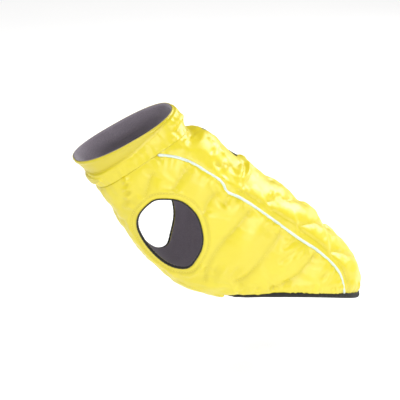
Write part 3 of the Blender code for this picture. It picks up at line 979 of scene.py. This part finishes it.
def back_relief(patch):
    """The back panel: spine, quilting, flanges, creases, seams, gathers and the leash slit's lips."""
    relief = patch.relief()
    padding(relief, 28.0, 21)
    along_spine = np.interp(relief.rows, *zip(*SPINE_RISE))
    relief.height += along_spine * near(relief.angles, 50.0, 4)
    base, hem, *flanges = border(back_place)
    for side, seed in ((-1, 40), (1, 60)):
        relief.quilts(on_side(BACK_QUILTS, side, 5), side, seed)
        piped = np.array([(row, side * seam_angle(row)) for row in np.linspace(4.4, 9.95, 40)])
        distance, _, _ = relief.distances(piped, steps=1)
        # the piping's flange lies almost flat beside its seam
        flat = near(distance, FLANGE_WIDTH, 4)
        relief.height = relief.height * (1 - 0.75 * flat) + 0.1 * flat
        relief.stitch(mirrored(FLANGE_EDGE, side), 1.0, 2.6, seed + 9, FLANGE_GROOVE)
        relief.creases(on_side(BACK_CREASES, side, 6), side)
    base_edge(relief, base, 3.5, BACK_BASE, 31)
    seam_edge(relief, hem, HEM_SEAM, 32)
    hem_gathers(relief, 33)
    for k, edge in enumerate(flanges):
        seam_edge(relief, edge, FLANGE_SEAM, 34 + k)
    # the slit's lips, puckered and turned in at the edge
    distance, reached, _ = relief.distances(slit_loop(), closed=True)
    relief.height += 0.5 * near(distance, 4.0) * wander(reached, 9.0, 36) - 0.9 * near(distance, 1.6)
    relief.pinned |= distance < 2.0
    relief.pinned |= relief.within(slit_loop())
    return relief


def side_relief(patch, side):
    """A side panel: quilting, creases, seams, gathers and the armhole."""
    relief = patch.relief()
    seed = 100 if side < 0 else 200
    padding(relief, 30.0, seed)
    base, hem, *seams = border(side_place(side))
    piped, underside = seams[::side]
    relief.quilts(on_side(SIDE_QUILTS, side, 7), side, seed + 5)
    relief.creases(on_side(SIDE_CREASES, side, 8), side)
    base_edge(relief, base, 3.5, SIDE_BASE, seed + 20)
    seam_edge(relief, piped, PIPED_EDGE, seed + 21)
    seam_edge(relief, underside, UNDERSIDE_SEAM, seed + 22)
    seam_edge(relief, hem, HEM_SEAM, seed + 23)
    hem_gathers(relief, seed + 24)
    armhole(relief, side, seed + 25)
    return relief


def armhole(relief, side, seed):
    """The flat facing round an armhole, its stitched line, and small puckers beyond it."""
    loop = armhole_loop(side)
    distance, reached, _ = relief.distances(loop, closed=True)
    past = distance - ARMHOLE_FACING
    flat = 1 / (1 + np.exp(past / 0.8))
    # the facing's level, turned in at its edge, and then the stitched line and the puckers past it
    facing = -0.35 - 0.8 * near(distance, 1.1)
    relief.height = relief.height * (1 - flat) + facing * flat
    relief.height -= 0.7 * near(past, 1.0)
    relief.height += 0.3 * wander(reached, 8.0, seed) * (np.clip(past / 2, 0, 1) * near(past, 6.0))
    # painted shade along the facing's stitched line
    relief.paint_shade(near(past, 1.2))
    relief.pinned |= past < 0.6
    relief.pinned |= relief.within(loop)


def collar_fold_row(angles):
    """The row of the fold between the collar's flat band and its roll."""
    smooth = curve_through(COLLAR_FOLD)
    row = np.interp(np.abs(angles), smooth[:, 0], smooth[:, 1])
    return row + 0.025 * np.sin(np.radians(angles * 3) + 0.7)


def collar_relief(patch):
    """A flat band above the collar's fold with painted shade over it, and a soft roll below it."""
    relief = patch.relief()
    below = (relief.rows - collar_fold_row(relief.angles)) * per_row(relief.rows, relief.angles)
    lower, upper = np.clip(below, 0, None), np.clip(-below, 0, None)
    from_rim = relief.rows * per_row(0.3, relief.angles)
    around = relief.angles * per_degree(1.0, relief.angles)
    throat = near(180 - np.abs(relief.angles), 32.0)
    # the roll below the fold, the flat band above it, and the fold's own groove
    roll = (1.7 - 1.5 * throat) * (1 - np.exp(-lower / 1.3)) * near(lower, 16)
    band = -1.3 * (1 - np.exp(-upper / 0.9))
    relief.height += roll + band - 1.5 * near(below, 1.0)
    # the rim's bead and its turned edge, small waves across the roll, and the padding's unevenness
    relief.height += 0.7 * near(from_rim - 1.6, 1.7) - 1.0 * near(from_rim, 0.7)
    relief.height += 0.35 * wander(around, 11.0, 301) * near(below - 4, 6.0)
    relief.height += 0.3 * ripple(relief.points, 24.0, 302)
    relief.pinned |= (np.abs(below) < 1.0) | (from_rim < 3.0)
    # painted shade down in the fold, and over the whole flat band above it, which lies in shade
    relief.paint_shade(near(below, 1.2))
    relief.paint_shade(1.2 / (1 + np.exp(below / 0.6)))
    _, base, *ends = border(collar_place)
    base_edge(relief, base, 7.0, COLLAR_BASE, 303)
    for k, edge in enumerate(ends):
        seam_edge(relief, edge, COLLAR_END, 304 + k)
    for side in (-1, 1):
        relief.creases(on_side(COLLAR_CREASES, side, 9), side)
    return relief


Panel = namedtuple("Panel", "place relief row_steps angle_steps openings")
PANELS = {
    "back_panel": Panel(back_place, back_relief, 236, 110, [slit_loop()]),
    "side_panel_left": Panel(side_place(-1), lambda patch: side_relief(patch, -1), 216, 120,
                             [armhole_loop(-1)]),
    "side_panel_right": Panel(side_place(1), lambda patch: side_relief(patch, 1), 216, 120,
                              [armhole_loop(1)]),
    "collar": Panel(collar_place, collar_relief, 56, 236, []),
}


def smoothed(lattice, times):
    """A lattice of samples with its small waves evened out."""
    for _ in range(times):
        padded = np.pad(lattice, ((1, 1), (1, 1), (0, 0)), mode="edge")
        around = padded[:-2, 1:-1] + padded[2:, 1:-1] + padded[1:-1, :-2] + padded[1:-1, 2:]
        lattice = (2 * lattice + around / 2) / 4
    return lattice


def crumpled_share(name, rows):
    """How much of the small wrinkles stays: most behind the collar and round the leash slit."""
    return 0.2 + 0.6 * (near(rows - 3.6, 1.1, 4) if name == "back_panel" else 0 * rows)


def billows():
    """How far the simulation moves each panel's cloth off its relief, as a lattice of samples."""
    most_slide, most_in, most_out = 0.8, -1.2, 2.2
    patches, reliefs, sheets = [], [], []
    for name, panel in PANELS.items():
        patch = Patch(panel.place, panel.row_steps // 2, panel.angle_steps // 2)
        relief = panel.relief(patch)
        relief.height *= 0.9  # the pressure lifts it again
        patches.append(patch)
        reliefs.append(relief)
        sheets.append(cloth_sheet(name + "_simulated", patch, relief))
    result = {}
    for name, patch, relief, points in zip(PANELS, patches, reliefs, settled(sheets)):
        shift = points - relief.at(relief.height)
        out = np.sum(shift * relief.normals, axis=1, keepdims=True)
        slide = shift - out * relief.normals
        reach = np.linalg.norm(slide, axis=1, keepdims=True)
        slide *= np.minimum(1, most_slide / np.maximum(reach, 1e-6))
        shift = slide + np.clip(out, most_in, most_out) * relief.normals
        lattice = shift.reshape(patch.row_steps + 1, patch.angle_steps + 1, 3)
        crumpled, calm = smoothed(lattice, 4), smoothed(lattice, 14)
        share = crumpled_share(name, patch.rows).reshape(lattice.shape[:2] + (1,))
        free = 1 - 0.85 * relief.stitched.reshape(share.shape)  # stitched cloth hardly moves
        result[name] = (calm + (crumpled - calm) * share) * free
    return result


def cloth_tree(points, patch):
    """A search tree of a piece's outer face, for laying stitches on it."""
    return BVHTree.FromPolygons((points * MM).tolist(), patch.faces)


def add_panel(name, billow, finish, backing):
    """A panel's wall, and the tree of its outer face."""
    wall = COLLAR_WALL if name == "collar" else SHELL_WALL
    panel = PANELS[name]
    patch = Patch(panel.place, panel.row_steps, panel.angle_steps, panel.openings)
    relief = panel.relief(patch)
    shift = 0 if billow is None else sampled(billow, patch.shares)
    height = np.maximum(relief.height, THINNEST_WALL - wall)
    outer = relief.at(height) + shift
    follows = 0 if name == "collar" else 0.25
    inner = relief.at(np.minimum(follows * height, 0) - wall)
    thing = add_wall(name + "_cloth", patch, outer, inner, relief.groove_and_painted_shade, finish, backing)
    return thing, cloth_tree(outer, patch)


# --- Smaller pieces ---
def add_lining(finish):
    """The collar's lining, a smooth layer against the collar's inner face, turned in at the rim."""
    patch = Patch(collar_place, 30, 170)
    relief = patch.relief()
    from_rim = patch.rows * per_row(0.3, patch.angles)
    overlap = 0.02
    outer = -COLLAR_WALL + overlap - 0.5 * near(from_rim, 0.8)
    inner = -COLLAR_WALL - LINING_WALL - 0.6 + 0.35 * ripple(relief.points, 16.0, 401)
    inner += 0.9 * near(from_rim, 1.2)
    return add_wall("collar_lining_cloth", patch, relief.at(outer), relief.at(inner), relief.groove_and_painted_shade, finish)


def add_lap(name, reach, lift, finish, seed, row_steps, angle_steps):
    """A padded lap with rounded corners, laid on the cloth below it. Returns its tree and places too."""
    (first_row, last_row), (first_angle, last_angle) = reach
    middle_row, half_rows = (first_row + last_row) / 2, (last_row - first_row) / 2
    middle_angle, half_angles = (first_angle + last_angle) / 2, (last_angle - first_angle) / 2

    def place(along, around):
        down, across = 2 * along - 1, 1 - 2 * around
        drawn_in = 1 - LAP_CORNER * (down * across) ** 4
        return middle_row + half_rows * down * drawn_in, -(middle_angle + half_angles * across * drawn_in)

    patch = Patch(place, row_steps, angle_steps)
    relief = patch.relief()
    top, bottom, left, right = border(place)
    edge = np.vstack((left, bottom, right[::-1], top[::-1]))
    distance, reached, _ = relief.distances(edge, closed=True)
    past = distance - LAP_STITCH_INSET
    # the rounded edge and the stitched line, the padding, and the puckers past the line
    relief.height = lift + TAB_WALL * (1 - near(distance, 1.1, 1.5)) - 0.5 * near(past, 0.8)
    relief.height += 0.2 * (1 - near(distance, 7)) + 0.15 * ripple(relief.points, 14.0, seed)
    relief.height += 0.15 * wander(reached, 6.0, seed + 1) * near(distance - 4.5, 2.5)
    outer = relief.at(relief.height)
    inner = relief.at(lift - TAB_WALL)
    # the lap's outer face gets painted shade along its stitched line
    thing = add_wall(name + "_cloth", patch, outer, inner, near(past, 0.9), finish)
    return thing, cloth_tree(outer, patch), place


def add_piping(name, side, finish):
    """Reflective piping, a cord that stands half out of the seam and thins at its ends."""
    short = 0.02
    rows = np.linspace(BASE_ROW + short, float(hem_edge(seam_angle(HEM_ROW))) - short, 260)
    places = evenly(np.stack((rows, side * seam_angle(rows)), axis=-1), PIPING_STEP)
    normals = normals_at(*places.T)
    reach = np.arange(len(places)) * PIPING_STEP
    height = PIPING_HEIGHT + 0.12 * wander(reach, 16.0, 500 + side)
    points = form(*places.T) + normals * height[:, None]
    girth = 1 + 0.035 * wander(reach, 5.0, 505 + side)
    ends = np.clip(np.minimum(reach, reach[-1] - reach) / 1.5, 0.45, 1)
    profile = ellipse(PIPING_RADIUS, PIPING_RADIUS, 14)[None] * (girth * ends)[:, None, None]
    return add_tube(name + "_cord", points, normals, profile, finish)


def add_edge_binding(name, loop, binding, finish, seed):
    """An elastic binding round an opening, with its gathers."""
    places = evenly(loop, binding.step, closed=True)
    normals = normals_at(*places.T)
    edge = form(*places.T) + normals * (binding.lift - SHELL_WALL * 0.5)
    sides = unit(np.cross(normals, runs_round(edge)))
    towards = np.sign(np.sum(sides * (edge.mean(axis=0) - edge), axis=1).mean())
    path = edge + sides * towards * binding.inward
    swell = 1 + binding.gathers * wander(np.arange(len(path)) * binding.step, 2.2, seed)
    profile = ellipse(binding.side_radius, binding.up_radius)[None] * swell[:, None, None]
    return add_tube(name + "_band", path, normals, profile, finish, closed=True)


def add_hem_band(finish):
    """Black elastic round the hem, drawn into fine upright gathers."""
    def place(along, around):
        angle = 360 * around - 180
        first = hem_edge(angle) - 0.8 / per_row(HEM_ROW - 0.1, angle)
        return first + (HEM_ROW - first) * along, angle

    patch = Patch(place, 9, 460, closed=True)
    relief = patch.relief()
    around = patch.angles * per_degree(HEM_ROW - 0.2, patch.angles)
    # narrow ribs that wander a little, over a slower unevenness
    ribs = 0.22 * np.sin(around / 1.7 * 2 * math.pi + 1.5 * wander(around, 9.0, 601))
    ribs += 0.18 * wander(around, 4.0, 602)
    crown = 1 - np.abs(2 * patch.shares[:, 0] - 1) ** 3
    shown = 0.9 * near(np.abs(patch.angles) - 138.0, 16.0)
    outer = relief.at(-HEM_BAND_INSET + (0.8 + shown + ribs) * crown)
    inner = relief.at(-HEM_BAND_INSET - HEM_BAND_WALL - 0.5 * ribs * crown)
    return add_wall("hem_binding_band", patch, outer, inner, relief.groove_and_painted_shade, finish)


def add_stitches(name, runs, finish):
    """Rows of stitches. Each run is a path of places and the tree of the cloth that it lies on."""
    sides, above, below = 6, 8 * MM, 6 * MM
    ring = ellipse(STITCH_RADIUS, STITCH_RADIUS, sides)
    # along the stitch, its swell, and its lift over the cloth: both ends dip into the cloth
    stations = ((0.0, 0.45, -0.2), (0.2, 1.0, 0.04), (0.8, 1.0, 0.04), (1.0, 0.45, -0.2))
    points, faces = [], []
    for places, tree in runs:
        path = form(*places.T)
        reach = reach_along(path)
        for k in range(int((reach[-1] - STITCH_MARGIN) / STITCH_PITCH)):
            spots = []
            first = k * STITCH_PITCH + 0.5
            for s in (first, first + STITCH_LENGTH):
                row, angle = (np.interp(s, reach, places[:, c]) for c in (0, 1))
                normal = Vector(normals_at(row, angle))
                hit = tree.ray_cast(Vector(form(row, angle) * MM) + normal * above, -normal, above + below)
                if hit[0] is not None:
                    spots.append((np.array(hit[0]) / MM, np.array(normal)))
            if len(spots) < 2:
                continue
            (start, up), (end, _) = spots
            run = end - start
            side = unit(np.cross(up, run))
            base = len(points)
            for share, swell, lift in stations:
                middle = start + run * share + up * lift
                points.extend(middle + swell * (ring[:, :1] * side + ring[:, 1:] * up))
            faces += tube_faces(len(stations), sides, first=base)
    return add_mesh(name, np.array(points), faces, [finish])


def beside(loop, distance):
    """Places at a distance in millimetres outside a closed loop."""
    steps = np.stack((per_row(*loop.T), per_degree(*loop.T)), axis=-1)
    runs = runs_round(loop) * steps
    across = unit(np.stack((-runs[:, 1], runs[:, 0]), axis=-1))
    outward = np.sign(np.sum(across * (loop - loop.mean(axis=0)) * steps))
    path = loop + across * outward * distance / steps
    return np.vstack((path, path[:1]))


def stitch_runs(trees, laps):
    """Every row of stitches: quilting, piping flanges, armhole facings and laps."""
    runs = []
    for side, word in SIDES:
        tree = trees["side_panel_" + word]
        for lines, seed, cloth in ((SIDE_QUILTS, 7, tree), (BACK_QUILTS, 5, trees["back_panel"])):
            for line in on_side(lines, side, seed):
                runs.append((curve_through(mirrored(line.places, side)), cloth))
        runs.append((curve_through(mirrored(FLANGE_EDGE, side)), trees["back_panel"]))
        runs.append((beside(armhole_loop(side), ARMHOLE_FACING), tree))
    turn = np.linspace(0, 2 * math.pi, 120)
    for place, tree, inset in laps:
        along, around = (np.clip(0.5 + 0.8 * wave, edge, 1 - edge) for wave, edge in
                         zip((np.sin(turn), np.cos(turn)), inset))
        runs.append((np.stack(place(along, around), axis=-1), tree))
    return runs


# --- Stage ---
def facing(azimuth, elevation):
    """A viewer's or a lamp's direction. Azimuth 0 is the coat's left, and it grows towards the hem."""
    a, e = math.radians(azimuth), math.radians(elevation)
    return np.array((math.sin(a) * math.cos(e), -math.cos(a) * math.cos(e), math.sin(e)))


def add_camera():
    """The photograph's view: 17 degrees to the coat's left front and 17 degrees above."""
    azimuth = math.radians(VIEW_AZIMUTH)
    right = np.array((math.cos(azimuth), math.sin(azimuth), 0))
    back = facing(VIEW_AZIMUTH, VIEW_ELEVATION)
    up = np.cross(back, right)
    look_at = VIEW_CENTRE[0] * right + VIEW_CENTRE[1] * up - ORIGIN
    camera = bpy.data.objects.new("camera", bpy.data.cameras.new("camera"))
    bpy.context.scene.collection.objects.link(camera)
    camera.data.sensor_width = 36.0
    camera.data.lens = 36.0 * VIEW_DISTANCE / (2 * VIEW_HALF_FRAME)
    camera.data.clip_start, camera.data.clip_end = 0.05, 50.0
    turn = Matrix((right, up, back)).transposed().to_4x4()
    camera.matrix_world = Matrix.Translation(Vector((look_at + back * VIEW_DISTANCE) * MM)) @ turn
    bpy.context.scene.camera = camera


def add_light(name, kind, azimuth, elevation, power):
    """A lamp that shines towards the part's origin from a direction."""
    light = bpy.data.lights.new(name, kind)
    light.energy = power
    thing = bpy.data.objects.new(name, light)
    bpy.context.scene.collection.objects.link(thing)
    thing.rotation_mode = "QUATERNION"
    thing.rotation_quaternion = Vector(-facing(azimuth, elevation)).to_track_quat("-Z", "Y")
    return thing


def add_stage():
    """A pale floor, an even world, a soft sun and the lamps."""
    scene = bpy.context.scene
    world = bpy.data.worlds.new("studio")
    world.use_nodes = True
    background = world.node_tree.nodes["Background"]
    background.inputs["Color"].default_value = (0.97, 0.98, 1.0, 1)
    background.inputs["Strength"].default_value = 0.14
    scene.world = world
    scene.view_settings.view_transform = "Standard"
    floor_mesh = bpy.data.meshes.new("floor")
    corners = [(x * FLOOR_HALF, y * FLOOR_HALF, FLOOR_LEVEL)
               for x, y in ((-1, -1), (1, -1), (1, 1), (-1, 1))]
    floor_mesh.from_pydata(corners, [], [(0, 1, 2, 3)])
    floor = bpy.data.objects.new("floor", floor_mesh)
    scene.collection.objects.link(floor)
    n = Nodes("floor_paint", 0.9, Specular_IOR_Level=0.1, Emission_Color=(1, 1, 1, 1),
              Emission_Strength=0.33)
    grain = n.noise(n.place(), 3.0, 2.0)
    tone = n.mix(n.spread(grain, 0.0, 1.0, 0.3, 0.7), (0.90, 0.90, 0.90), (0.88, 0.88, 0.885))
    floor_mesh.materials.append(n.finish(tone, n.bump(grain, 0.02, 0.001)))
    sun = add_light("key", "SUN", -50, 58, 1.75)
    sun.data.angle, sun.data.color = math.radians(40), (1.0, 0.99, 0.97)
    for name, azimuth, elevation, distance, size, power in LAMPS:
        lamp = add_light(name, "AREA", azimuth, elevation, power)
        lamp.data.shape, lamp.data.size = "DISK", size
        lamp.location = facing(azimuth, elevation) * distance
        lamp.visible_camera = False


# --- The coat ---
def main():
    add_camera()
    add_stage()
    # the last colour is painted shade for the grooves, seams and recesses
    yellow = nylon("shell_nylon", (0.775, 0.660, 0.009), (0.705, 0.550, 0.007), (0.530, 0.430, 0.006))
    slate = fleece("lining_fleece", (0.300, 0.262, 0.310), (0.205, 0.178, 0.215))
    black = elastic("elastic_knit", (0.030, 0.028, 0.027), (0.008, 0.008, 0.008))
    silver = reflective("reflective_tape", (0.74, 0.83, 0.76), (0.58, 0.68, 0.64))
    sewing = thread("sewing_thread", (0.92, 0.80, 0.10), (0.86, 0.72, 0.05))

    shifts = billows() if WITH_SIMULATION else {}
    trees, pieces = {}, {}
    for name in PANELS:
        pieces[name], trees[name] = add_panel(name, shifts.get(name), yellow, slate)
    pieces["collar_lining"] = add_lining(slate)
    pieces["throat_tab"], tab_tree, tab_place = add_lap(
        "throat_tab", THROAT_TAB, TAB_LIFT, yellow, seed=701, row_steps=26, angle_steps=52)
    pieces["belly_lap"], lap_tree, lap_place = add_lap(
        "belly_lap", BELLY_LAP, BELLY_LIFT, yellow, seed=711, row_steps=70, angle_steps=38)
    for side, word in SIDES:
        pieces["piping_" + word] = add_piping("piping_" + word, side, silver)
    for side, word in SIDES:
        name = "armhole_binding_" + word
        pieces[name] = add_edge_binding(name, armhole_loop(side), ARMHOLE_BINDING, black, 720 + side)
    name = "leash_slit_binding"
    pieces[name] = add_edge_binding(name, slit_loop(), SLIT_BINDING, black, 730)
    pieces["hem_binding"] = add_hem_band(black)
    laps = ((tab_place, tab_tree, (0.24, 0.07)), (lap_place, lap_tree, (0.05, 0.09)))
    quilting = add_stitches("quilting_thread", stitch_runs(trees, laps), sewing)

    for node, piece in pieces.items():
        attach(piece, "root")
        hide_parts(node)
    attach(quilting, "root")


main()
